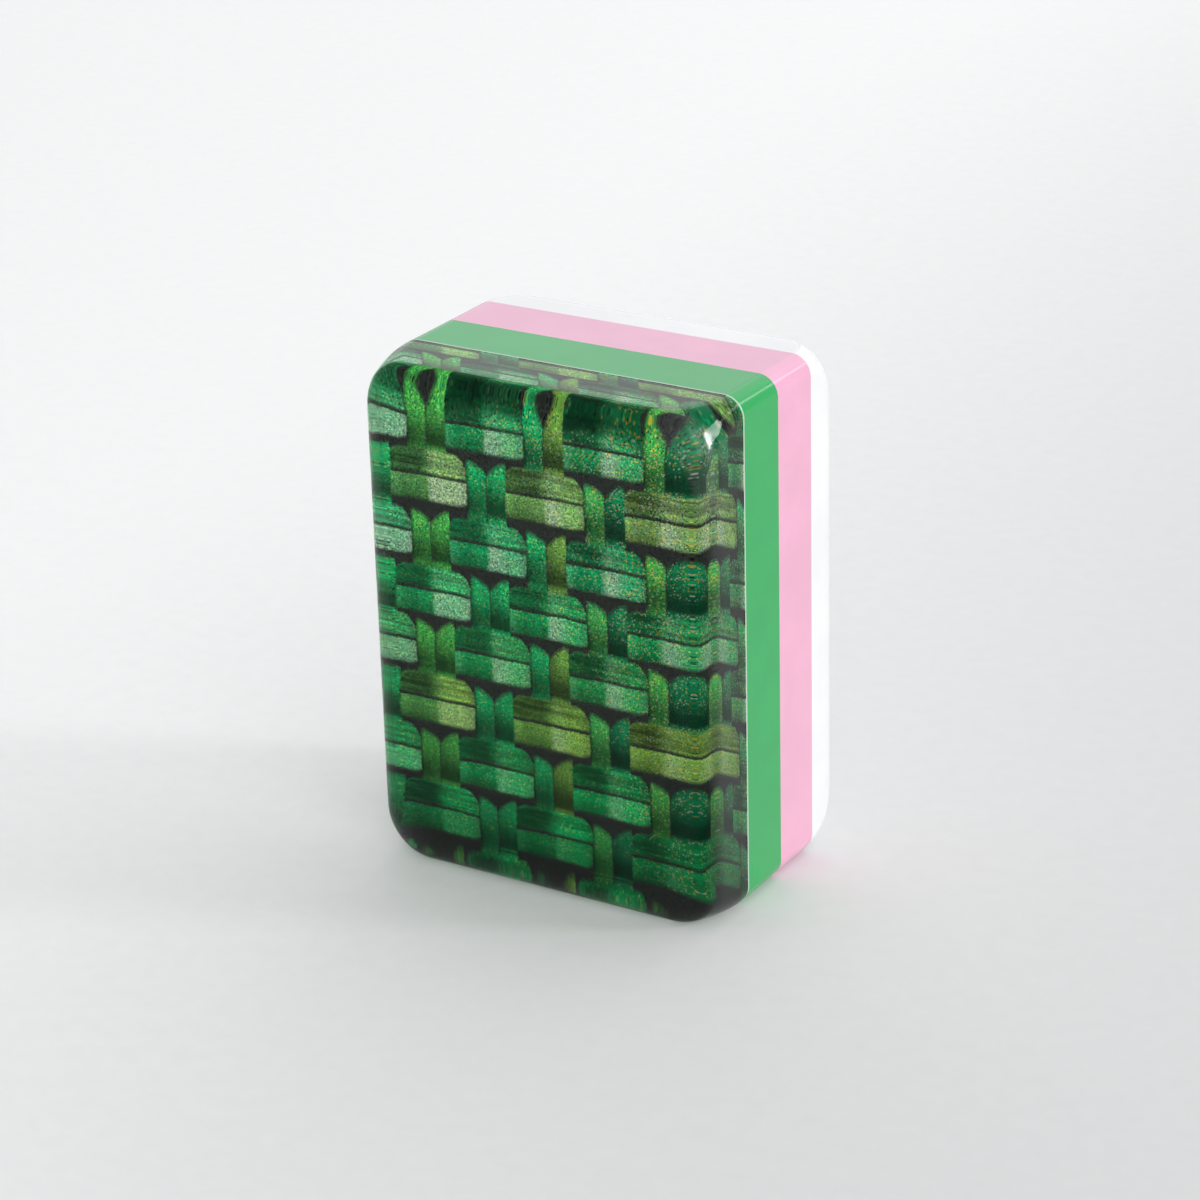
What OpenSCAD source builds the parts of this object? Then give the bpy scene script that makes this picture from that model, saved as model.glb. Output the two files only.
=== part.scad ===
// Layered acrylic mahjong tile.
// A clear cap lies over a woven print, and behind it come green, pink and white sheets, all glued.
// The tile stands on its short edge: +Z is up, the printed back looks along -Y, and the engraved
// game face looks along +Y. The origin is the middle of the bottom edge.

/* [Tile] */
// Height of the tile, from the bottom edge to the top edge
tile_h = 30; // [27:0.1:40]
// Width of the tile, from side to side
tile_w = 21.7; // [20:0.1:30]
// Depth of the tile, from the printed back to the game face
tile_d = 15.4; // [13:0.1:20]
// Corner radius of the middle layers, where they meet the cap and the face sheet
corner_r = 1.2; // [0.5:0.1:1.8]

/* [Clear cap] */
// Thickness of the clear cap over the print
cap_t = 4.16; // [2.5:0.02:6]
// Width of the rounded edge round the printed back, in from the side
cap_edge_w = 1.9; // [0.8:0.1:2.5]
// Depth of the rounded edge round the printed back, below the outer face
cap_edge_d = 0.95; // [0.5:0.05:2]
// Corner radius of the printed back at its outer face
cap_corner_r = 3.5; // [2:0.1:6]

/* [Print] */
// Thickness of the printed film
print_t = 0.08; // [0.04:0.01:0.3]
// Thickness of the white layer behind the print
underbase_t = 0.1; // [0.04:0.01:0.3]

/* [Sheets] */
// Thickness of each glue film between two sheets
bond_t = 0.04; // [0.02:0.01:0.2]
// Radius of the rounded edge round the game face
face_edge_r = 2.1; // [0.5:0.1:2.4]
// Corner radius of the game face at its outer side
face_corner_r = 5.5; // [2:0.1:6.5]

/* [Engraved dots] */
// Outside diameter of a dot's ring
ring_d = 6.4; // [5.5:0.1:7]
// Width of a dot's ring
ring_w = 0.6; // [0.3:0.05:0.7]
// Diameter of the circle that the petals' centres lie on
petal_circle_d = 3.5; // [3.2:0.1:3.6]
// Diameter of one petal
petal_d = 0.85; // [0.4:0.05:1]
// Number of petals in a dot
petal_count = 8; // [4:1:8]
// Diameter of a dot's core
core_d = 1.7; // [0.8:0.1:1.8]
// Depth of the engraving below the game face
engrave_depth = 0.4; // [0.2:0.05:1]
// Depth of the paint's surface below the game face
paint_drop = 0.1; // [0.05:0.01:0.15]

/* [Hidden] */
// How far a cut runs past the face that it opens
overrun = 1;
// Facets in a quarter turn of a rounded corner
corner_steps = 8;
// Facets across a rounded edge, from the outer face to the side
edge_steps = 6;
// Sections along the side of a layer with rounded corners
side_steps = 6;
$fn = 64;

// The green, pink and white sheets are alike, and share what the cap, print and glue leave
sheet_t = (tile_d - cap_t - print_t - underbase_t - 3 * bond_t) / 3;

// The stack, from the printed back to the game face
back_y = -tile_d / 2;
print_y = back_y + cap_t;
underbase_y = print_y + print_t;
cap_bond_y = underbase_y + underbase_t;
green_y = cap_bond_y + bond_t;
green_pink_bond_y = green_y + sheet_t;
pink_y = green_pink_bond_y + bond_t;
pink_white_bond_y = pink_y + sheet_t;
face_y = pink_white_bond_y + bond_t + sheet_t;

// The dots as someone who looks at the game face sees them, so left is towards +X. Each stands
// at shares of the tile's width and height from the middle of the face.
dot_names = ["top_left", "top_right", "centre", "bottom_left", "bottom_right"];
dot_place_shares = [[0.215, 0.25], [-0.215, 0.25], [0, 0], [0.215, -0.25], [-0.215, -0.25]];
dot_paints = ["royalblue", "seagreen", "crimson", "seagreen", "royalblue"];
core_paints = ["crimson", "crimson", "seagreen", "crimson", "crimson"];

layer_nodes = [
    "clear_cap", "weave_print", "print_underbase", "cap_bond", "green_layer",
    "green_pink_bond", "pink_layer", "pink_white_bond", "white_face"
];
paint_parts = ["ring", "petals", "core"];

function dot_node(name, part) = str(name, "_dot_", part);

// How far the rounded edge, a quarter of an ellipse, draws a section in at a depth below the face
function inset(depth, edge_w, edge_d) =
    depth < edge_d ? edge_w * (1 - sqrt(1 - (1 - depth / edge_d) ^ 2)) : 0;

// Corner radius of a section: outer_r at the outer face, easing to corner_r at the glued side
function section_r(depth, t, outer_r) =
    corner_r + (outer_r - corner_r) * (1 - depth / t) ^ 2;

// The way to each corner from the middle, in the order that a section runs round them
corner_sides = [[1, 1], [-1, 1], [-1, -1], [1, -1]];

// Rounded rectangle at one depth, as a ring of points seen anticlockwise from the outer face
function section(depth, t, edge_w, edge_d, outer_r) =
    let (
        r = section_r(depth, t, outer_r),
        centre_x = tile_w / 2 - inset(depth, edge_w, edge_d) - r,
        centre_z = tile_h / 2 - inset(depth, edge_w, edge_d) - r
    )
    [for (quarter = [0:len(corner_sides) - 1]) for (step = [0:corner_steps])
        let (
            turn = 90 * (quarter + step / corner_steps),
            side = corner_sides[quarter]
        )
        [side[0] * centre_x + r * cos(turn), depth, side[1] * centre_z + r * sin(turn)]];

// Depths of the sections: close together over the rounded edge, then even along the side
function section_depths(t, edge_d) = concat(
    [for (step = [0:edge_steps]) edge_d * (1 - cos(90 * step / edge_steps))],
    [for (step = [1:side_steps]) edge_d + (t - edge_d) * step / side_steps]);

// Skin over a list of rings with equal numbers of points, closed at both ends
module skin(rings) {
    count = len(rings[0]);
    last = len(rings) - 1;
    outer_end = [for (k = [count - 1:-1:0]) k];
    inner_end = [for (k = [0:count - 1]) last * count + k];
    sides = [for (i = [0:last - 1]) for (k = [0:count - 1])
        let (
            a = i * count + k,
            b = i * count + (k + 1) % count
        )
        each [[a, b, b + count], [a, b + count, a + count]]];
    polyhedron([for (ring = rings) each ring], concat([outer_end, inner_end], sides));
}

// Outer layer of the stack: outer face at y = 0, glued side at y = t
module outer_layer(t, edge_w, edge_d, outer_r) {
    skin([for (depth = section_depths(t, edge_d)) section(depth, t, edge_w, edge_d, outer_r)]);
}

// Flat layer of the stack that starts at depth y
module flat_layer(y, t) {
    translate([0, y, tile_h / 2])
        rotate([-90, 0, 0])
            linear_extrude(t) {
                square([tile_w - 2 * corner_r, tile_h], center = true);
                square([tile_w, tile_h - 2 * corner_r], center = true);
                for (side = corner_sides)
                    translate([side[0] * (tile_w / 2 - corner_r), side[1] * (tile_h / 2 - corner_r)])
                        circle(corner_r);
            }
}

// Outline of one dot's ring, petals or core
module dot_outline(part) {
    if (part == "ring")
        difference() {
            circle(d = ring_d);
            circle(d = ring_d - 2 * ring_w);
        }
    if (part == "petals")
        for (k = [0:petal_count - 1])
            rotate(360 * k / petal_count)
                translate([petal_circle_d / 2, 0])
                    circle(d = petal_d);
    if (part == "core")
        circle(d = core_d);
}

// One part of dot i, raised to a height from the floor of its engraving
module dot_solid(i, part, height) {
    place_x = dot_place_shares[i][0] * tile_w;
    place_z = tile_h / 2 + dot_place_shares[i][1] * tile_h;
    translate([place_x, face_y - engrave_depth, place_z])
        rotate([-90, 0, 0])
            linear_extrude(height)
                dot_outline(part);
}

// Clear acrylic cap, rounded at the printed back
module clear_cap() {
    color([0.86, 0.95, 0.92, 0.4])
        translate([0, back_y, tile_h / 2])
            outer_layer(cap_t, cap_edge_w, cap_edge_d, cap_corner_r);
}

// Printed basket-weave film behind the cap
module weave_print() {
    color([0.1, 0.45, 0.22])
        flat_layer(print_y, print_t);
}

// White layer behind the print
module print_underbase() {
    color([0.96, 0.97, 0.97])
        flat_layer(underbase_y, underbase_t);
}

// Glue film between the print and the green sheet
module cap_bond() {
    color([0.9, 0.92, 0.85, 0.6])
        flat_layer(cap_bond_y, bond_t);
}

// Green acrylic sheet
module green_layer() {
    color([0.2, 0.62, 0.32])
        flat_layer(green_y, sheet_t);
}

// Glue film between the green and the pink sheet
module green_pink_bond() {
    color([0.9, 0.92, 0.85, 0.6])
        flat_layer(green_pink_bond_y, bond_t);
}

// Pink acrylic sheet
module pink_layer() {
    color([0.95, 0.7, 0.82])
        flat_layer(pink_y, sheet_t);
}

// Glue film between the pink and the white sheet
module pink_white_bond() {
    color([0.9, 0.92, 0.85, 0.6])
        flat_layer(pink_white_bond_y, bond_t);
}

// White acrylic sheet, rounded at the game face, with the dots engraved in it
module white_face() {
    color([0.96, 0.97, 0.98])
        difference() {
            translate([0, face_y, tile_h / 2])
                mirror([0, 1, 0])
                    outer_layer(sheet_t, face_edge_r, face_edge_r, face_corner_r);
            for (i = [0:len(dot_names) - 1], part = paint_parts)
                dot_solid(i, part, engrave_depth + overrun);
        }
}

// Paint in the engraved ring, petals or core of dot i
module dot_paint(i, part) {
    color(part == "core" ? core_paints[i] : dot_paints[i])
        dot_solid(i, part, engrave_depth - paint_drop);
}

clear_cap();
weave_print();
print_underbase();
cap_bond();
green_layer();
green_pink_bond();
pink_layer();
pink_white_bond();
white_face();
for (i = [0:len(dot_names) - 1], part = paint_parts)
    dot_paint(i, part);
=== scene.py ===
import bpy
import numpy as np
from mathutils import Matrix, Vector
from mathutils.geometry import delaunay_2d_cdt


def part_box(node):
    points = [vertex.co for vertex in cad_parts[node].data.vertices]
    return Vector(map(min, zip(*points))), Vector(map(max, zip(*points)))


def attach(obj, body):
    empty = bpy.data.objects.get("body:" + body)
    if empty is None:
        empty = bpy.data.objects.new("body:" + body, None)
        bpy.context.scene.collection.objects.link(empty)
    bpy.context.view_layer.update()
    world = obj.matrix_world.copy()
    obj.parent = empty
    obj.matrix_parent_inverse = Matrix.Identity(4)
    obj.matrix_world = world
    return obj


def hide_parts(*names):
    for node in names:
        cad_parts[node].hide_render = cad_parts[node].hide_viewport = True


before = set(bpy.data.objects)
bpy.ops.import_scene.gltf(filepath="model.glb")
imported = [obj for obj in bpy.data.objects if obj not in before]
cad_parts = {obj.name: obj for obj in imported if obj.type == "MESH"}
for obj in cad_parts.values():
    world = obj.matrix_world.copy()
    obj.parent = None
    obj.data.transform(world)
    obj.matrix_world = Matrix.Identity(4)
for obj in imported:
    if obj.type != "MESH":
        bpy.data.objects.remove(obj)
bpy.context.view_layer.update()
MM = 0.001


# Camera: a long lens, a little above the tile and to the right of its printed back.
# It stands where the lines between the layers and the outline of the tile meet the photograph's.
AIM = np.array([-0.459, 0.0, 14.968]) * MM
AZIMUTH, ELEVATION, ROLL = np.radians([31.88, 22.93, -1.552])
CAMERA_DISTANCE = 207.34 * MM
LENS_MM, SENSOR_W_MM = 110.68, 36

towards_camera = np.array([
    np.sin(AZIMUTH) * np.cos(ELEVATION),
    -np.cos(AZIMUTH) * np.cos(ELEVATION),
    np.sin(ELEVATION),
])
level_right = np.cross(-towards_camera, [0, 0, 1])
level_right /= np.linalg.norm(level_right)
level_up = np.cross(level_right, -towards_camera)
camera_right = np.cos(ROLL) * level_right + np.sin(ROLL) * level_up
camera_up = np.cos(ROLL) * level_up - np.sin(ROLL) * level_right
camera_place = np.eye(4)
camera_place[:3] = np.stack(
    [camera_right, camera_up, towards_camera, AIM + CAMERA_DISTANCE * towards_camera], axis=1)

camera = bpy.data.objects.new("camera", bpy.data.cameras.new("camera"))
camera.data.lens = LENS_MM
camera.data.sensor_width = SENSOR_W_MM
camera.data.clip_start = 0.01
camera.data.clip_end = 20
camera.matrix_world = Matrix(camera_place.tolist())
bpy.context.scene.collection.objects.link(camera)
bpy.context.scene.camera = camera


# Clear cap: cast acrylic, sawn, rounded at the printed back and polished, glued on over the print.
# It is solid, so the weave behind it bends and repeats in the rounded edges and in the sides.
TILE_W, TILE_H = 21.7, 30.0
BACK_Y, PRINT_Y = -7.7, -3.54
SHEET_CORNER_R = 1.2
CAP_CORNER_R = 3.5
# Rounded edges at the right, at the left and at the ends: width, depth and power. The right one came
# off the buff squarer than the others.
RIGHT, LEFT, END = 0, 1, 2
CAP_EDGE_D = 0.95
CAP_EDGES = [(1.3, 2.0, 4), (1.9, CAP_EDGE_D, 2), (1.9, CAP_EDGE_D, 2)]
CAP_EDGE_STEPS, CAP_SIDE_STEPS, CAP_CORNER_STEPS = 141, 24, 97
# A rounded edge starts a hair inside its flat face, where its slope is not yet endless
FIRST_TURN = 0.001
# The cap's glued side lies in the film, so that light inside the acrylic meets the ink first
CAP_SINK = 0.02
# Where the rounded corner at the upper right begins and is full: its gloss is softer than elsewhere
SOFT_CORNER_X, SOFT_CORNER_Z = (7.0, 9.0), (24.0, 26.0)
ACRYLIC_IOR = 1.491


def edge_rows(thickness, edges, outer_r, edge_count, side_count):
    """Rows from a layer's outer face to its glued side, with their slopes down the depth.

    Each edge is a quarter of a squarish ellipse with a width, a depth and a power: where up is the
    share of the edge's depth that is left, across is (1 - up^power)^(1/power), and the section is
    drawn in by width (1 - across). Below the edge the side runs straight on. The corner radius eases
    from outer_r to that of the middle sheets with the square of the layer's depth left.
    """
    edge_w, edge_d, power = np.array(edges, float).T[:, :, None]
    turn = np.linspace(FIRST_TURN, np.pi / 2, edge_count)
    side = np.linspace(edge_d.max(), thickness, side_count + 1)[1:]
    depth = np.concatenate([edge_d.max() * (1 - np.cos(turn)), side])
    up = np.clip(1 - depth / edge_d, 0, 1)
    across = (1 - up ** power) ** (1 / power)
    draw_in = edge_w * (1 - across)
    draw_slope = -edge_w / edge_d * (up / across) ** (power - 1)
    left = 1 - depth / thickness
    corner = SHEET_CORNER_R + (outer_r - SHEET_CORNER_R) * left ** 2
    corner_slope = -2 * (outer_r - SHEET_CORNER_R) * left / thickness
    return depth, draw_in, draw_slope, corner, corner_slope


def layer_side(rows, corner_count):
    """Points and outward normals of a layer's side, as rows of rounded rectangles.

    A ring runs round the four corners, each a quarter circle of the row's corner radius about a
    centre that is drawn in from the tile's sides. The normal is the slope from row to row crossed
    with the way round the ring. The outer face is at depth 0, towards -Y.
    """
    depth, draw_in, draw_slope, corner, corner_slope = rows
    depth, corner, corner_slope = depth[:, None], corner[:, None], corner_slope[:, None]
    quarter = np.repeat(np.arange(4), corner_count)
    turn = np.pi / 2 * (quarter + np.tile(np.linspace(0, 1, corner_count), 4))
    side_x = np.array([1, -1, -1, 1])[quarter]
    side_z = np.array([1, 1, -1, -1])[quarter]
    edge_x = np.where(side_x > 0, RIGHT, LEFT)
    points = np.stack([
        side_x * (TILE_W / 2 - draw_in[edge_x].T - corner) + corner * np.cos(turn),
        depth + 0 * turn,
        side_z * (TILE_H / 2 - draw_in[END, :, None] - corner) + corner * np.sin(turn) + TILE_H / 2,
    ], axis=-1)
    down = np.stack([
        corner_slope * np.cos(turn) - side_x * (draw_slope[edge_x].T + corner_slope),
        1 + 0 * points[..., 1],
        corner_slope * np.sin(turn) - side_z * (draw_slope[END, :, None] + corner_slope),
    ], axis=-1)
    along = np.stack([-np.sin(turn), 0 * turn, np.cos(turn)], axis=-1)
    normals = np.cross(down, along[None])
    return points, normals / np.linalg.norm(normals, axis=-1, keepdims=True)


def ring_quads(row_count, ring_count, first=0):
    """Four-sided faces between neighbouring closed rings of a grid, facing outwards."""
    row, step = np.meshgrid(np.arange(row_count - 1), np.arange(ring_count), indexing="ij")
    near = first + row * ring_count + step
    far = first + row * ring_count + (step + 1) % ring_count
    return np.stack([near, near + ring_count, far + ring_count, far], axis=-1).reshape(-1, 4)


def finished_piece(name, points, faces, corner_normals, material, slot_name, *nodes):
    """Mesh object from points in millimetres, with the given normal at every corner of every face."""
    mesh = bpy.data.meshes.new(name)
    mesh.from_pydata((np.asarray(points) * MM).tolist(), [], faces)
    mesh.polygons.foreach_set("use_smooth", np.ones(len(faces), bool))
    mesh.normals_split_custom_set(np.asarray(corner_normals).tolist())
    mesh.materials.append(material)
    piece = bpy.data.objects.new(name, mesh)
    bpy.context.scene.collection.objects.link(piece)
    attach(piece, "root")
    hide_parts(*nodes)
    return piece


def closed_layer(name, rows, corner_count, y, material, slot_name, node):
    """Layer with its outer face at depth y: the side of layer_side, with a flat face at each end."""
    points, normals = layer_side(rows, corner_count)
    row_count, ring_count = points.shape[:2]
    quads = ring_quads(row_count, ring_count)
    outer_end = np.arange(ring_count)
    inner_end = ((row_count - 1) * ring_count + np.arange(ring_count))[::-1]
    corner_normals = np.concatenate([
        normals.reshape(-1, 3)[quads.ravel()],
        np.tile([0.0, -1, 0], (ring_count, 1)),
        np.tile([0.0, 1, 0], (ring_count, 1)),
    ])
    faces = quads.tolist() + [outer_end.tolist(), inner_end.tolist()]
    points = points.reshape(-1, 3) + [0, y, 0]
    return finished_piece(name, points, faces, corner_normals, material, slot_name, node)


class Finish:
    """A number or a colour in a finish's nodes: arithmetic on it adds Math nodes, make any other."""

    def __init__(self, socket):
        self.socket = socket

    def make(self, kind, settings, inputs, output=0):
        """Adds a node: first its settings, then its sockets. Stops are a ramp's places and colours."""
        tree = self.socket.id_data
        node = tree.nodes.new(kind)
        for key, value in settings.items():
            if key == "stops":
                for place, colour in value[1:]:
                    node.color_ramp.elements.new(place).color = (*colour, 1)
                node.color_ramp.elements[0].color = (*value[0][1], 1)
            elif key == "interpolation":
                node.color_ramp.elements.remove(node.color_ramp.elements[1])
                node.color_ramp.interpolation = value
            else:
                setattr(node, key, value)
        for key, value in inputs.items():
            if isinstance(value, Finish):
                tree.links.new(value.socket, node.inputs[key])
            elif isinstance(value, tuple) and node.inputs[key].type == "RGBA":
                node.inputs[key].default_value = (*value, 1)
            else:
                node.inputs[key].default_value = value
        return Finish(node.outputs[output])

    def maths(self, operation, *others):
        """Math node with this number first."""
        return self.make("ShaderNodeMath", {"operation": operation}, dict(enumerate((self, *others))))

    def __add__(self, other):
        return self.maths("ADD", other)

    def __radd__(self, other):
        return self.maths("ADD", other)

    def __sub__(self, other):
        return self.maths("SUBTRACT", other)

    def __rsub__(self, other):
        return self.make("ShaderNodeMath", {"operation": "SUBTRACT"}, {0: other, 1: self})

    def __mul__(self, other):
        return self.maths("MULTIPLY", other)

    def __rmul__(self, other):
        return self.maths("MULTIPLY", other)

    def __truediv__(self, other):
        return self.maths("DIVIDE", other)

    def __mod__(self, other):
        return self.maths("FLOORED_MODULO", other)

    def __pow__(self, other):
        return self.maths("POWER", other)

    def __neg__(self):
        return self.maths("MULTIPLY", -1.0)

    def __abs__(self):
        return self.maths("ABSOLUTE")

    def __lt__(self, other):
        return self.maths("LESS_THAN", other)

    def __gt__(self, other):
        return self.maths("GREATER_THAN", other)


def new_finish(name):
    """New material: the material, its Principled node, and the place on the tile in millimetres."""
    material = bpy.data.materials.new(name)
    material.use_nodes = True
    shader = material.node_tree.nodes["Principled BSDF"]
    metres = Finish(shader.inputs["Base Color"]).make("ShaderNodeTexCoord", {}, {}, "Object")
    place = metres.make(
        "ShaderNodeVectorMath", {"operation": "SCALE"}, {"Vector": metres, "Scale": 1 / MM})
    return material, shader, place


def feed(shader, name, value):
    """Links a number or a colour to one of the shader's sockets."""
    shader.id_data.links.new(value.socket, shader.inputs[name])


def rise(value, low, high):
    """Smooth step from 0 at low to 1 at high."""
    return value.make("ShaderNodeMapRange", {"interpolation_type": "SMOOTHSTEP"},
                      {"Value": value, "From Min": low, "From Max": high})


def blend(share, first, second):
    """Colour between first, at share 0, and second, at share 1."""
    return share.make("ShaderNodeMix", {"data_type": "RGBA"}, {0: share, 6: first, 7: second}, 2)


def cloud(place, per_mm, detail=2.0, output="Fac"):
    """Soft noise with about per_mm blotches to the millimetre."""
    return place.make(
        "ShaderNodeTexNoise", {}, {"Vector": place, "Scale": per_mm, "Detail": detail}, output)


def parts_of(vector):
    """The three numbers of a vector or colour."""
    split = vector.make("ShaderNodeSeparateXYZ", {}, {"Vector": vector})
    return [Finish(output) for output in split.socket.node.outputs]


clear_acrylic, shader, place = new_finish("clear_acrylic")
shader.inputs["Base Color"].default_value = (1, 1, 1, 1)
shader.inputs["IOR"].default_value = ACRYLIC_IOR
shader.inputs["Specular Tint"].default_value = (0.15, 0.15, 0.15, 1)
shader.inputs["Transmission Weight"].default_value = 1
shader.inputs["Coat Roughness"].default_value = 0.22
polish_haze = cloud(place, 0.35, 3.0)
feed(shader, "Roughness", 0.012 * rise(polish_haze, 0.45, 0.75))
across, depth, height = parts_of(place)
below_face = depth - BACK_Y
rounded = rise(below_face, 0.01, 0.1) * (1 - rise(below_face, CAP_EDGE_D, 1.5 * CAP_EDGE_D))
feed(shader, "Coat Weight", rounded * rise(across, *SOFT_CORNER_X) * rise(height, *SOFT_CORNER_Z))

cap_t = PRINT_Y + CAP_SINK - BACK_Y
cap_rows = edge_rows(cap_t, CAP_EDGES, CAP_CORNER_R, CAP_EDGE_STEPS, CAP_SIDE_STEPS)
closed_layer("clear_cap_solid", cap_rows, CAP_CORNER_STEPS, BACK_Y,
             clear_acrylic, "clear_acrylic", "clear_cap")


# Printed film: a basket weave printed by ink jet on a thin film, pressed flat against the cap.
# Each pillow is a doubled splint that passes over a pair of upright strands; rows are dyed in turn.
ROW_PITCH, ROW_0_Z = 3.425, 26.3
COLUMN_PITCH, COLUMN_0_X = 3.7875, -0.525
FIRST_ROW, FIRST_COLUMN = -1, -3
# One row gives way to the next a little above the middle between them
ROW_CHANGE = 0.05
PAIR_HALF_W = 1.30
PILLOW_LEFT, PILLOW_RIGHT = 2.55, 2.5
# The lines of the weave wander, as in hand work, and fray at their edges
WANDER = 0.16
# At the right the print is drawn out a little, so that the next pillow doesn't show in the edge
MARGIN_DRAW, MARGIN_X = 0.22, (7.4, 8.35)
# In the top row the strands part further, and its light fails towards the top of the print
TOP_ROW_Z, TOP_SHADE_Z = (26.5, 27.3), (26.75, 27.4)
GAP_INK, GLOSS_INK = (0.028, 0.034, 0.029), (0.68, 0.73, 0.65)
GREEN, TEAL, GRASS = (0.012, 0.64, 0.190), (0.004, 0.62, 0.205), (0.010, 0.68, 0.185)
FERN, JADE = (0.022, 0.60, 0.145), (0.002, 0.67, 0.165)
OLIVE, MOSS = (0.36, 0.77, 0.180), (0.30, 0.63, 0.085)
LEAF, SPRING = (0.10, 0.68, 0.115), (0.075, 0.66, 0.135)
DEEP, BRONZE = (0.005, 0.36, 0.130), (0.24, 0.57, 0.090)
ROW_DYES = [OLIVE, GREEN, OLIVE, TEAL, GRASS, FERN, MOSS, JADE, JADE, JADE]
# For each row: how far it is lifted, how far its top is above 1 mm, and how much its splints shine
ROW_SHAPES = [
    (0.0, 0.40, 1.0), (0.05, 0.66, 1.0), (0.05, 0.57, 1.0), (0.0, 0.37, 1.0), (0.03, 0.40, 0.9),
    (0.17, 0.55, 0.75), (0.18, 0.56, 0.45), (0.22, 0.54, 0.4), (0.2, 0.58, 0.1), (0.0, 0.56, 0.0),
]
# For each column: its strand at the left, then at the right
STRAND_DYES = [
    GREEN, GREEN, LEAF, LEAF, GREEN, GREEN, GREEN, BRONZE, SPRING, DEEP, LEAF, DEEP, GREEN, GREEN,
]
# Gold and dark drops go by the strength of the ink round them, pale ones are all alike
DROPS_PER_MM = 10.5
GOLD_DROP, DARK_DROP, PALE_DROP = (1.9, 1.5, 0.13), (0.0, 0.36, 0.18), (0.40, 0.50, 0.40)
GOLD_FROM, DARK_TO, PALE_FROM = 0.84, 0.25, 0.86


def dyed(value, dyes):
    """Dye of a list by its number, where value counts from 0."""
    count = len(dyes)
    return value.make(
        "ShaderNodeValToRGB",
        {"interpolation": "CONSTANT", "stops": [(k / count, dye) for k, dye in enumerate(dyes)]},
        {"Fac": (value + 0.5) / count}, "Color")


def tinted(colour, share):
    """Colour scaled by a number."""
    return share.make(
        "ShaderNodeVectorMath", {"operation": "SCALE"}, {"Vector": colour, "Scale": share})


def together(x, y, z):
    """Vector of three numbers."""
    return x.make("ShaderNodeCombineXYZ", {}, {"X": x, "Y": y, "Z": z})


weave_ink, shader, place = new_finish("weave_ink")
shader.inputs["Specular IOR Level"].default_value = 0
shader.inputs["Roughness"].default_value = 0.9

x, y, z = parts_of(place)
sway_x, sway_z = parts_of(cloud(place, 0.5, 1.0, "Color"))[:2]
fray_x, fray_z = parts_of(cloud(place, 7.0, 1.0, "Color"))[:2]
x = x + WANDER * (sway_x - 0.5) + WANDER * (fray_x - 0.5)
z = z + WANDER * (sway_z - 0.5) + WANDER * (fray_z - 0.5)
x = x - MARGIN_DRAW * rise(x, *MARGIN_X)

# Nearest row, and in it the nearest pillow: its middle is at u = 0, v = 0
across = (x - COLUMN_0_X) / COLUMN_PITCH
below = (ROW_0_Z - z) / ROW_PITCH
row = (below + ROW_CHANGE).maths("ROUND")
odd = (row + 1) % 2
column = odd + 2 * ((across - odd) / 2).maths("ROUND")
lift, high, shine = parts_of(dyed(row - FIRST_ROW, ROW_SHAPES))
u = (across - column) * COLUMN_PITCH
v = (row - below) * ROW_PITCH - lift
chance = u.make("ShaderNodeTexWhiteNoise", {}, {"Vector": together(column, row, row)}, "Color")
light_chance, gleam_chance = parts_of(chance)[:2]

# Upright strands: those under this pillow show above and below it, and the next pair beside it
under = abs(u) < COLUMN_PITCH / 2
beside = (1 - under) * u.maths("SIGN")
pair_u = u - beside * COLUMN_PITCH
t = v - under * v.maths("SIGN") * ROW_PITCH
off = abs(pair_u)
right_hand = pair_u > 0
strand_dye = dyed((column + beside - FIRST_COLUMN) * 2 + right_hand, STRAND_DYES)
inwards = (1 - off / PAIR_HALF_W).maths("MAXIMUM", 0.0)
top_row = rise(z, *TOP_ROW_Z)
shoulder = 0.50 + 0.36 * right_hand + 0.38 * top_row
crown = 1.25 + 0.25 * top_row + 0.19 * right_hand - shoulder * inwards ** 2
strand = rise(crown - t, -0.22, 0.26) * rise(PAIR_HALF_W - off, -0.02, 0.06)
strand = strand * (0.2 + 0.8 * rise(off, 0.0, 0.1))

# Their light: printed full at the crown, failing downwards, with a shaded side on each; painted shade
# in the lower rows
dusk = 0.15 + 0.20 * inwards * (1 - right_hand)
strand_light = (dusk + (0.96 - dusk) * rise(t, -1.2, 0.85)) * (1 - 0.28 * rise(row, 1.0, 7.0))
strand_light = strand_light * (1 - 0.3 * right_hand * (1 - rise(off, 0.1, 0.9)))
strand_light = strand_light * (1 - 0.6 * (1 - right_hand) * rise(off, 1.08, 1.26))
strand_light = strand_light + (0.18 + 0.4 * right_hand) * rise(-t, 1.5, 1.9)
grain = cloud(together(x * 6, y, z * 0.7), 1.0, 2.0)
strand_light = strand_light * (0.65 + 0.7 * grain)
colour = blend(strand, GAP_INK, tinted(strand_dye, strand_light))

# Pillows: two splints one above the other, with a dark line between them and rounded corners
bow = (u / PILLOW_RIGHT) ** 2
v = v + 0.04 * bow - 0.008 * u
right_end = ((u - 1.75) / 0.75).maths("MAXIMUM", 0.0)
left_end = ((-u - 1.9) / 0.6).maths("MAXIMUM", 0.0)
top = 1 + high - 0.75 * right_end ** 2 - 0.3 * left_end ** 2 - 0.07 * bow
pillow = rise(top - v, -0.08, 0.16) * rise(v - 0.2 * right_end ** 2, -1.62, -1.3)
pillow = pillow * rise(u + PILLOW_LEFT, -0.03, 0.1) * rise(PILLOW_RIGHT - u, -0.04, 0.1)
lower = 1 - rise(v, -0.1, -0.05)
seam = rise(v, -0.11, -0.03) * (1 - rise(v, 0.05, 0.24))

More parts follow.
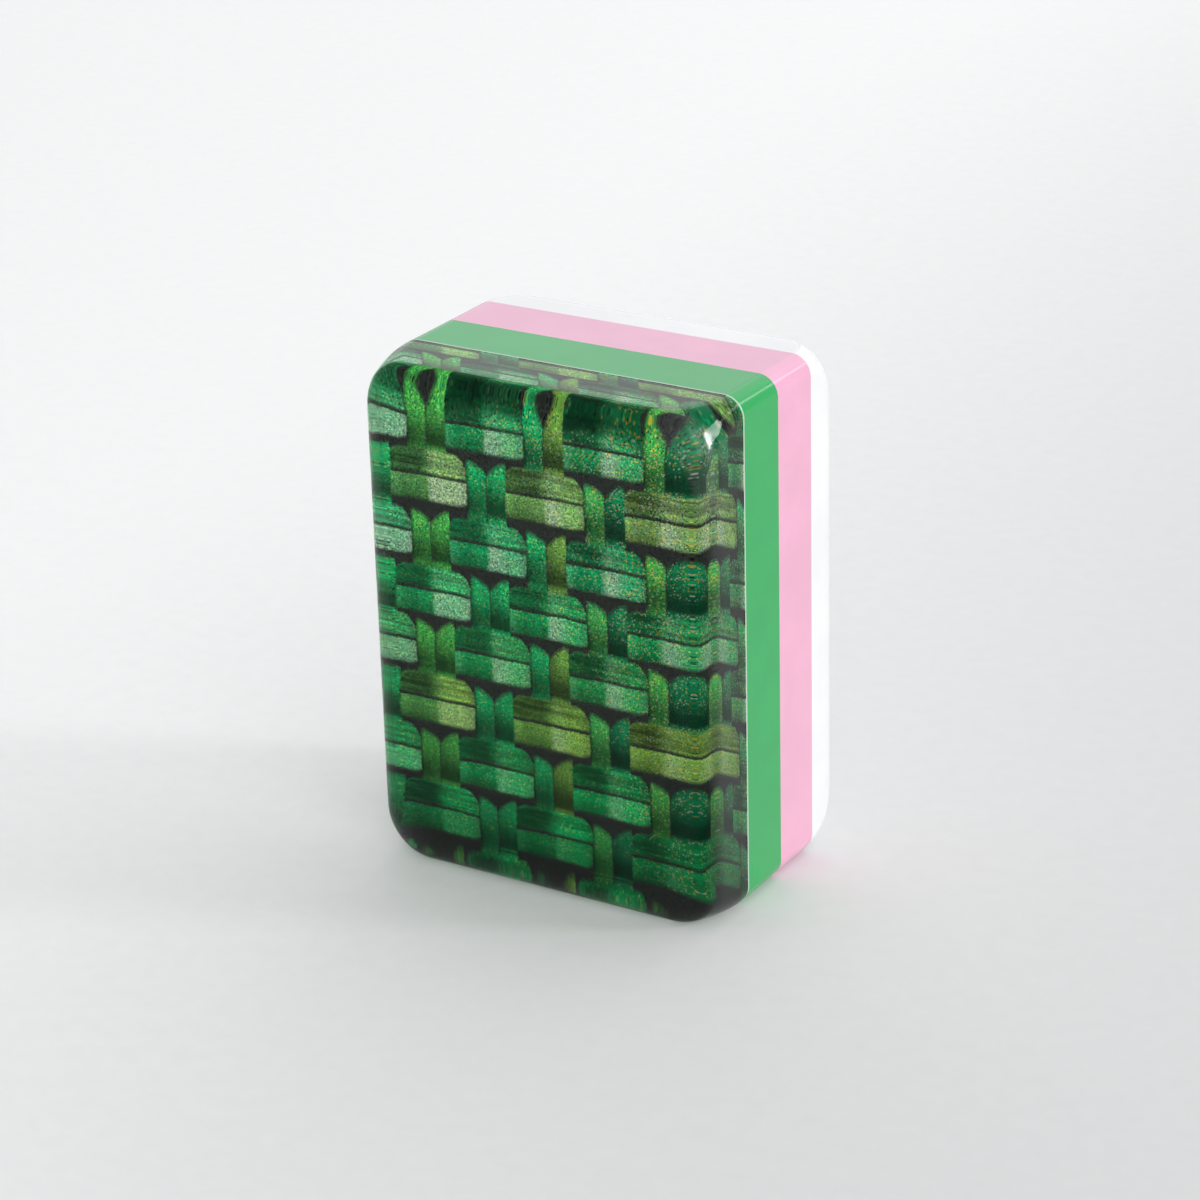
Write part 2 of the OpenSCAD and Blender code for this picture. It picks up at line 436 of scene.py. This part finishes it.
# Their shine: the right half is paler, most of all at the left of the tile. It begins with a gleam,
# which lies further left and is softer in the columns to the right
column_x = column * COLUMN_PITCH + COLUMN_0_X
rightwards = column_x.maths("MAXIMUM", 0.0)
fading = 1 - 0.05 * column_x
gleam_u = 0.02 - 0.045 * rightwards
gleam_soft = 0.20 + 0.035 * rightwards
lit = rise(u, gleam_u - gleam_soft, gleam_u + gleam_soft)
half_lit = rise(u, gleam_u - 0.75, gleam_u + 0.6)
streaks = rise(cloud(together(x * 0.3, y, z * 4.5), 1.0, 3.0), 0.34, 0.66)
top_shade = rise(z, *TOP_SHADE_Z)
# Painted shade: the upper splints are a little darker from row 3 down
upper_light = 0.20 + 0.06 * rise(-u, 1.4, 2.4) - 0.05 * rise(row, 3.0, 6.0)
upper_light = upper_light + 0.47 * half_lit * (1 - 0.04 * column_x)
upper_light = upper_light * (1.22 - 0.2 * v) * (0.55 + 0.8 * streaks) * (1 - 0.68 * top_shade)
lower_light = 0.58 + 0.22 * rise(-u, 1.6, 2.45) + 0.12 * rise(u, -1.5, -0.3) + 0.30 * lit * fading
foot_shade = 0.62 * (1 - rise(v, -1.65, -0.3)) * (1 - 0.75 * lit)
lower_light = lower_light * (1 - foot_shade) * (0.88 + 0.24 * streaks)
pillow_light = upper_light + lower * (lower_light - upper_light) + 0.16 * rise(v - top, -0.24, -0.1)
# Painted shade: the lower splints of the bottom rows are darker
pillow_light = pillow_light * (1 - 0.4 * lower * rise(row, 6.4, 7.0)) * (0.92 + 0.16 * light_chance)
pillow_light = pillow_light * (1 - 0.4 * rise(u, 1.6, 2.6))
greened = 0.5 * rise(4.5 - column_x, 0.0, 12.0) * (1 - half_lit)
splint = tinted(blend(greened, dyed(row - FIRST_ROW, ROW_DYES), GREEN), pillow_light)
tail = (1.19 + 0.132 * column_x).maths("MAXIMUM", 0.1).maths("MINIMUM", 0.88)
gleam = lit * (1 - tail * rise(u, gleam_u + 0.3, gleam_u + 1.6)) * (0.12 + 0.38 * lower)
gleam = gleam + 0.08 * gleam_chance * lower * rise(-u, 1.8, 2.4)
gleam = gleam * shine * (1 - 0.9 * top_shade)
splint = blend(gleam, splint, GLOSS_INK)
splint = blend(seam * 0.92, splint, GAP_INK)
colour = blend(pillow, colour, splint)
# Painted shade: the whole print is darker towards the bottom rows, where less light reaches the bottom
# of the tile
colour = tinted(colour, 1 - 0.36 * rise(row, 4.0, 8.0))

# Ink-jet drops: fine gold, pale and dark ones, closer together towards the top right of the print
drops = place.make(
    "ShaderNodeTexVoronoi", {"feature": "F1"}, {"Vector": place, "Scale": DROPS_PER_MM}, "Color")
spot = 1 - rise(Finish(drops.socket.node.outputs["Distance"]), 0.35, 0.65)
pick, fullness, tone = parts_of(drops)
strength = parts_of(colour)[1]
inked = spot * rise(strength, 0.05, 0.12)
grit = 0.6 + 0.4 * rise(z, 5.0, 19.0)
haze = rise(x + 0.4 * z, 2.0, 16.0)
gold = (pick > GOLD_FROM) * inked * (0.24 + 0.68 * haze)
dark = (pick < DARK_TO) * inked * grit * 0.8
pale = (tone > PALE_FROM) * inked * (0.05 + 0.85 * haze) * (1 - 0.85 * top_shade)
colour = tinted(colour, 1 + 2.0 * grit * spot * (fullness - 0.5))
colour = blend(gold, colour, tinted(GOLD_DROP, strength))
colour = blend(dark, colour, tinted(DARK_DROP, strength))
colour = blend(pale, colour, PALE_DROP)
feed(shader, "Base Color", colour)
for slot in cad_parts["weave_print"].material_slots:
    slot.material = weave_ink


# White backing and glue: a white coat behind the print keeps its colours bright, and thin films of
# clear glue hold the sheets. On the tile's sides they show as hairlines.
THIN_WHITE, FULL_WHITE = (0.42, 0.52, 0.46), (0.58, 0.66, 0.60)
GREEN_ACRYLIC = (0.016, 0.39, 0.095)
PINK_ACRYLIC = (0.86, 0.43, 0.60)
WHITE_ACRYLIC = (0.90, 0.905, 0.91)
# The glue on the white coat takes its colour, with a cast of the green sheet
COAT_CAST = (0.5, 0.62, 0.5)

white_ink, shader, place = new_finish("white_ink")
shader.inputs["Roughness"].default_value = 0.35
feed(shader, "Base Color", blend(cloud(place, 2.0), THIN_WHITE, FULL_WHITE))
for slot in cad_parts["print_underbase"].material_slots:
    slot.material = white_ink


def glue_line(name, node, first, second):
    """Clear glue between two sheets: it takes their colours at its edges, and tiny bubbles cloud it."""
    glue, shader, place = new_finish(name)
    low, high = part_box(node)
    depth = parts_of(place)[1]
    shader.inputs["Roughness"].default_value = 0.2
    tint = blend(rise(depth, low.y / MM, high.y / MM), first, second)
    feed(shader, "Base Color", tinted(tint, 0.85 + 0.3 * cloud(place, 6.0)))
    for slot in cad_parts[node].material_slots:
        slot.material = glue


glue_line("cap_glue", "cap_bond", COAT_CAST, GREEN_ACRYLIC)
glue_line("green_pink_glue", "green_pink_bond", GREEN_ACRYLIC, PINK_ACRYLIC)
glue_line("pink_white_glue", "pink_white_bond", PINK_ACRYLIC, WHITE_ACRYLIC)


# Green and pink sheets: opaque coloured acrylic, cut from sheet and polished with the tile's sides.
# Glued flush to their neighbours, so that only the colour shows where one ends.
SHEETS = {
    "green": (-3.32, 0.3267, GREEN_ACRYLIC),
    "pink": (0.3667, 4.0133, PINK_ACRYLIC),
}
SHEET_ROWS, SHEET_CORNER_STEPS = 9, 33


def bumped(height, strength, distance):
    """Normal of a surface that a height from 0 to 1 lifts by up to a distance."""
    return height.make(
        "ShaderNodeBump", {}, {"Strength": strength, "Distance": distance, "Height": height}, "Normal")


def coloured_acrylic(name, colour):
    """Opaque acrylic: even colour with faint clouds, a clear gloss and fine polishing marks."""
    acrylic, shader, place = new_finish(name)
    shader.inputs["IOR"].default_value = ACRYLIC_IOR
    clouds = cloud(place, 0.25, 3.0)
    marks = cloud(place, 9.0, 3.0)
    darker = tuple(0.94 * part for part in colour)
    feed(shader, "Base Color", blend(rise(clouds, 0.3, 0.7), darker, colour))
    feed(shader, "Roughness", 0.10 + 0.05 * clouds)
    feed(shader, "Normal", bumped(marks, 0.02, 0.00002))
    return acrylic


for sheet, (start, end, colour) in SHEETS.items():
    depth = np.linspace(0, end - start, SHEET_ROWS)
    no_draw = np.zeros((3, SHEET_ROWS))
    straight_rows = depth, no_draw, no_draw, SHEET_CORNER_R + 0 * depth, 0 * depth
    slot_name = sheet + "_acrylic"
    finish = coloured_acrylic(slot_name, colour)
    closed_layer(sheet + "_sheet", straight_rows, SHEET_CORNER_STEPS, start,
                 finish, slot_name, sheet + "_layer")


# White face sheet: opaque white acrylic, rounded at the game face like the cap at the back.
# Five dots are engraved in it, each a ring, eight petals and a core, with softly broken rims.
FACE_Y, WHITE_T = 7.7, 3.6467
FACE_EDGE_R, FACE_CORNER_R = 2.1, 5.5
FACE_EDGE_STEPS, FACE_SIDE_STEPS, FACE_CORNER_STEPS = 41, 16, 41
DOT_X, DOT_Z = 4.6655, 7.5
RING_R, RING_INNER_R, CORE_R = 3.2, 2.6, 0.85
PETAL_R, PETAL_CIRCLE_R, PETAL_COUNT = 0.425, 1.75, 8
RING_STEPS, CORE_STEPS, PETAL_STEPS, RIM_STEPS = 96, 48, 32, 6
ENGRAVE_DEPTH, RIM_R = 0.4, 0.07
DOT_PLACES = {
    "top_left": (DOT_X, TILE_H / 2 + DOT_Z),
    "top_right": (-DOT_X, TILE_H / 2 + DOT_Z),
    "centre": (0.0, TILE_H / 2),
    "bottom_left": (DOT_X, TILE_H / 2 - DOT_Z),
    "bottom_right": (-DOT_X, TILE_H / 2 - DOT_Z),
}
petal_turns = 2 * np.pi * np.arange(PETAL_COUNT) / PETAL_COUNT
PETAL_PLACES = PETAL_CIRCLE_R * np.stack([np.cos(petal_turns), np.sin(petal_turns)], axis=1)


def turned(profile, slope, centre, count):
    """Grid and normals of a profile turned about an axis along Y.

    The profile is rows of radius and depth below the game face, and its slope the step from row to
    row. A point is centre + radius (cos a, sin a) at y = FACE_Y - depth, for a right round in count
    steps, and the normal is the slope turned by a quarter.
    """
    turn = 2 * np.pi * np.arange(count) / count
    way = np.stack([np.cos(turn), np.sin(turn)], axis=1)
    radius, depth = profile[:, 0, None], profile[:, 1, None]
    inwards, outwards = -slope[:, 1, None], -slope[:, 0, None]
    points = np.stack([
        centre[0] + radius * way[:, 0], FACE_Y - depth + 0 * turn, centre[1] + radius * way[:, 1],
    ], axis=-1)
    normals = np.stack([inwards * way[:, 0], outwards + 0 * turn, inwards * way[:, 1]], axis=-1)
    return points, normals / np.linalg.norm(normals, axis=-1, keepdims=True)


# Engraved wall: a rim broken to RIM_R, then straight down; radius counts from the wall
rim_turn = np.linspace(0, np.pi / 2, RIM_STEPS)
wall = np.stack([RIM_R * (1 - np.sin(rim_turn)), RIM_R * (1 - np.cos(rim_turn))], axis=1)
wall = np.concatenate([wall, [[0, ENGRAVE_DEPTH]]])
wall_slope = np.concatenate([np.stack([-np.cos(rim_turn), np.sin(rim_turn)], axis=1), [[0.0, 1.0]]])
inside_out = [-1, 1]
ring_cut = np.concatenate([[RING_R, 0] + wall, ([RING_INNER_R, 0] + wall * inside_out)[::-1]])
ring_cut_slope = np.concatenate([wall_slope, (wall_slope * [1, -1])[::-1]])

# The rounded side, turned to look along +Y
face_edges = [(FACE_EDGE_R, FACE_EDGE_R, 2)] * 3
face_rows = edge_rows(WHITE_T, face_edges, FACE_CORNER_R, FACE_EDGE_STEPS, FACE_SIDE_STEPS)
side, side_normals = layer_side(face_rows, FACE_CORNER_STEPS)
side = np.array([0, FACE_Y, 0]) + side * [1, -1, 1]
side_normals = side_normals * [1, -1, 1]
row_count, ring_count = side.shape[:2]
glued_end = (row_count - 1) * ring_count + np.arange(ring_count)
points = [side.reshape(-1, 3)]
normals = [side_normals.reshape(-1, 3)]
quads = [ring_quads(row_count, ring_count)[:, ::-1]]
outline_loops = [np.arange(ring_count)]
point_count = row_count * ring_count

# The engraving: its walls, and the floors of the round recesses
floors = []
cut_rings = []
for centre in DOT_PLACES.values():
    cuts = [
        (ring_cut, ring_cut_slope, centre, RING_STEPS, False),
        ([CORE_R, 0] + wall, wall_slope, centre, CORE_STEPS, True),
    ]
    for petal in PETAL_PLACES:
        cuts.append(([PETAL_R, 0] + wall, wall_slope, centre + petal, PETAL_STEPS, True))
    for profile, slope, middle, count, floored in cuts:
        grid, grid_normals = turned(profile, slope, middle, count)
        last = point_count + (len(profile) - 1) * count + np.arange(count)
        points.append(grid.reshape(-1, 3))
        normals.append(grid_normals.reshape(-1, 3))
        quads.append(ring_quads(len(profile), count, point_count))
        outline_loops.append(point_count + np.arange(count))
        if floored:
            floors.append(last[::-1])
            cut_rings.append((middle, 0.0, profile[0, 0]))
        else:
            outline_loops.append(last)
            cut_rings.append((middle, profile[-1, 0], profile[0, 0]))
        point_count += len(profile) * count
points = np.concatenate(points)
normals = np.concatenate(normals)
quads = np.concatenate(quads)

# The flat of the game face, between its outline and the engraving
rim_points = np.concatenate(outline_loops)
loop_starts = np.cumsum([0] + [len(loop) for loop in outline_loops])
rim_edges = np.concatenate([
    np.stack([start + np.arange(len(loop)), start + (np.arange(len(loop)) + 1) % len(loop)], axis=1)
    for start, loop in zip(loop_starts, outline_loops)])
flat = points[rim_points][:, [0, 2]]
made = delaunay_2d_cdt([Vector(spot) for spot in flat.tolist()], rim_edges.tolist(), [], 0, 1e-6)
triangles = np.array(made[2])
from_rim = np.array([origin[0] for origin in made[3]])
triangles = from_rim[triangles]
middles = flat[triangles].mean(axis=1)
kept = np.ones(len(triangles), bool)
for middle, inner, outer in cut_rings:
    away = np.linalg.norm(middles - middle, axis=1)
    kept &= (away < inner) | (away > outer)
triangles = triangles[kept]
first, second, third = np.moveaxis(flat[triangles], 1, 0)
edge_a, edge_b = second - first, third - first
upside_down = edge_a[:, 0] * edge_b[:, 1] - edge_a[:, 1] * edge_b[:, 0] > 0
triangles[upside_down] = triangles[upside_down][:, ::-1]
triangles = rim_points[triangles]

white_acrylic = coloured_acrylic("white_acrylic", WHITE_ACRYLIC)
face_corners = triangles.size + sum(len(floor) for floor in floors)
corner_normals = np.concatenate([
    normals[quads.ravel()],
    np.tile([0.0, 1, 0], (face_corners, 1)),
    np.tile([0.0, -1, 0], (ring_count, 1)),
])
faces = quads.tolist() + triangles.tolist()
faces += [floor.tolist() for floor in floors] + [glued_end.tolist()]
finished_piece("white_sheet", points, faces, corner_normals,
               white_acrylic, "white_acrylic", "white_face")


# Dot paint: enamel run into the engraving by hand and wiped off level, so it has dried a little
# hollow and clings to the walls. Blue, green and red in turn, as on a tile of five dots.
PAINT_WALL_DEPTH, PAINT_HOLLOW = 0.06, 0.05
RING_PAINT_ROWS, DISC_PAINT_ROWS, DISC_MIDDLE = 17, 13, -0.03
PAINTS = {"blue": (0.012, 0.060, 0.36), "green": (0.008, 0.16, 0.050), "red": (0.50, 0.012, 0.020)}
DOT_PAINTS = {
    "top_left": ("blue", "red"), "top_right": ("green", "red"), "centre": ("red", "green"),
    "bottom_left": ("green", "red"), "bottom_right": ("blue", "red"),
}


def enamel(name, colour):
    """Glossy enamel: streaked a little by the brush, with a shallow ripple where it dried."""
    paint, shader, place = new_finish(name)
    streaks = cloud(place, 1.4, 3.0)
    thin = tuple(min(1.0, 1.5 * part + 0.01) for part in colour)
    feed(shader, "Base Color", blend(rise(streaks, 0.45, 0.75), colour, thin))
    feed(shader, "Roughness", 0.16 + 0.16 * cloud(place, 3.0))
    feed(shader, "Normal", bumped(streaks, 0.15, 0.0002))
    return paint


def paint_rows(outer, inner):
    """Profile of dried paint, from the foot of its outer wall over the top: radius, depth and slope.

    Over the top s runs from -1 at the outer wall to 1 at the inner wall, or to just short of 0, the
    middle of a full disc, and the depth is the wall's plus a hollow of PAINT_HOLLOW (1 - s^4).
    """
    s = np.linspace(-1, 1, RING_PAINT_ROWS) if inner else np.linspace(-1, DISC_MIDDLE, DISC_PAINT_ROWS)
    half = (outer - inner) / 2 if inner else outer
    top = np.stack([outer - (s + 1) * half, PAINT_WALL_DEPTH + PAINT_HOLLOW * (1 - s ** 4)], axis=1)
    top_slope = np.stack([-half + 0 * s, -4 * PAINT_HOLLOW * s ** 3], axis=1)
    foot, foot_slope = [[outer, ENGRAVE_DEPTH]], [[0, -1]]
    if inner:
        return (np.concatenate([foot, top, [[inner, ENGRAVE_DEPTH]]]),
                np.concatenate([foot_slope, top_slope, [[0, 1]]]))
    return np.concatenate([foot, top]), np.concatenate([foot_slope, top_slope])


def paint_piece(name, outer, inner, places, count, paint, node):
    """Paint in one or more round engravings: turned profiles, closed below, and on top if full."""
    profile, slope = paint_rows(outer, inner)
    points, normals, quads, ends = [], [], [], []
    for k, centre in enumerate(places):
        first = k * len(profile) * count
        grid, grid_normals = turned(profile, slope, centre, count)
        points.append(grid.reshape(-1, 3))
        normals.append(grid_normals.reshape(-1, 3))
        quads.append(ring_quads(len(profile), count, first))
        foot = first + np.arange(count)
        last = foot + (len(profile) - 1) * count
        if inner:
            quads.append(np.stack([last, foot, np.roll(foot, -1), np.roll(last, -1)], axis=1))
        else:
            ends += [last[::-1].tolist(), foot.tolist()]
    points, normals, quads = np.concatenate(points), np.concatenate(normals), np.concatenate(quads)
    end_normals = np.tile(np.repeat([[0.0, 1, 0], [0, -1, 0]], count, axis=0), (len(ends) // 2, 1))
    corner_normals = np.concatenate([normals[quads.ravel()], end_normals])
    finished_piece(name, points, quads.tolist() + ends, corner_normals,
                   paints[paint], "paint_" + paint, node)


paints = {name: enamel("paint_" + name, colour) for name, colour in PAINTS.items()}
for dot, (ring_paint, core_paint) in DOT_PAINTS.items():
    centre = np.array(DOT_PLACES[dot])
    petals = centre + PETAL_PLACES
    paint_piece(dot + "_ring_paint", RING_R, RING_INNER_R, [centre], RING_STEPS,
                ring_paint, dot + "_dot_ring")
    paint_piece(dot + "_petal_paint", PETAL_R, 0, petals, PETAL_STEPS,
                ring_paint, dot + "_dot_petals")
    paint_piece(dot + "_core_paint", CORE_R, 0, [centre], CORE_STEPS,
                core_paint, dot + "_dot_core")


# Table and studio light: a pale seamless table, a large soft window at the right and pale walls.
# They are not part of the tile.
TABLE_RINGS, TABLE_STEPS = 24, 96
TABLE_INNER_R, TABLE_R, TABLE_DROP = 1.0 * MM, 3.0, 0.02 * MM
PAPER_IN_PAINTED_SHADE, PAPER_IN_PAINTED_LIGHT = (0.705, 0.705, 0.705), (0.965, 0.965, 0.96)
KEY_WAY = (0.84, 0.35, 0.41)


def table_top():
    """Flat disc of rings about the tile, each wider by the same ratio, a hair below its bottom edge."""
    turn = np.linspace(0, 2 * np.pi, TABLE_STEPS, endpoint=False)
    radius = np.geomspace(TABLE_INNER_R, TABLE_R, TABLE_RINGS)
    points = np.stack(np.broadcast_arrays(
        radius[:, None] * np.cos(turn), radius[:, None] * np.sin(turn), -TABLE_DROP), axis=-1)
    mesh = bpy.data.meshes.new("table_top")
    faces = ring_quads(TABLE_RINGS, TABLE_STEPS).tolist() + [list(range(TABLE_STEPS))]
    mesh.from_pydata(points.reshape(-1, 3).tolist(), [], faces)
    return bpy.data.objects.new("table_top", mesh)


# Painted light and shade: the paper's colour grows paler to the left, away from the window, and darker
# to the right, standing in for how the light falls on the table
paper, shader, place = new_finish("table_paper")
table_x, table_y = parts_of(place)[:2]
far = rise(-0.97 * table_x - 0.1 * table_y, -50.0, 60.0)
paper_with_painted_light = blend(far, PAPER_IN_PAINTED_SHADE, PAPER_IN_PAINTED_LIGHT)
feed(shader, "Base Color", tinted(paper_with_painted_light, 0.97 + 0.06 * cloud(place, 0.8, 4.0)))
shader.inputs["Roughness"].default_value = 0.7
shader.inputs["Specular IOR Level"].default_value = 0.2
table = table_top()
table.data.materials.append(paper)
bpy.context.scene.collection.objects.link(table)


def soft_box(name, towards, distance, width, height, radiance):
    """Lamp of even radiance at a distance from the tile, in a direction, facing it."""
    lamp = bpy.data.lights.new(name, "AREA")
    lamp.shape = "RECTANGLE"
    lamp.size = width
    lamp.size_y = height
    lamp.energy = radiance * np.pi * width * height
    box = bpy.data.objects.new(name, lamp)
    towards = np.array(towards) / np.linalg.norm(towards)
    side = np.cross([0, 0, 1], towards)
    side /= np.linalg.norm(side)
    stand = np.eye(4)
    stand[:3] = np.stack([side, np.cross(towards, side), towards, towards * distance], axis=1)
    box.matrix_world = Matrix(stand.tolist())
    bpy.context.scene.collection.objects.link(box)
    return box


# Each lamp's direction, its distance, width and height in metres, and its radiance. The glint box
# shows only as the gleam on the cap's soft corner, and lights nothing.
soft_box("key_box", KEY_WAY, 0.8, 0.12, 0.12, 30.0)
glint_box = soft_box("glint_box", KEY_WAY, 0.8, 0.36, 0.40, 20.0)
glint_box.visible_diffuse = False
glint_box.visible_transmission = False
soft_box("window", (0.60, 0.66, 0.45), 0.9, 0.5, 0.12, 3.4)
soft_box("right_panel", (0.95, -0.05, 0.35), 0.9, 0.6, 0.6, 0.72)
soft_box("back_panel", (0.0, 0.9, 0.43), 0.9, 0.6, 0.6, 0.8)
soft_box("back_left_panel", (-0.6, 0.7, 0.4), 0.9, 0.6, 0.6, 0.55)
soft_box("ceiling_panel", (0.0, 0.1, 1.0), 0.9, 0.5, 0.5, 0.5)
soft_box("front_right_panel", (0.6, -0.6, 0.5), 0.9, 0.6, 0.6, 1.3)

world = bpy.data.worlds.new("room")
world.use_nodes = True
bpy.context.scene.world = world
backdrop = world.node_tree.nodes["Background"]
backdrop.inputs["Color"].default_value = (0.97, 0.985, 1.0, 1)
backdrop.inputs["Strength"].default_value = 0.64
bpy.context.scene.view_settings.view_transform = "Standard"
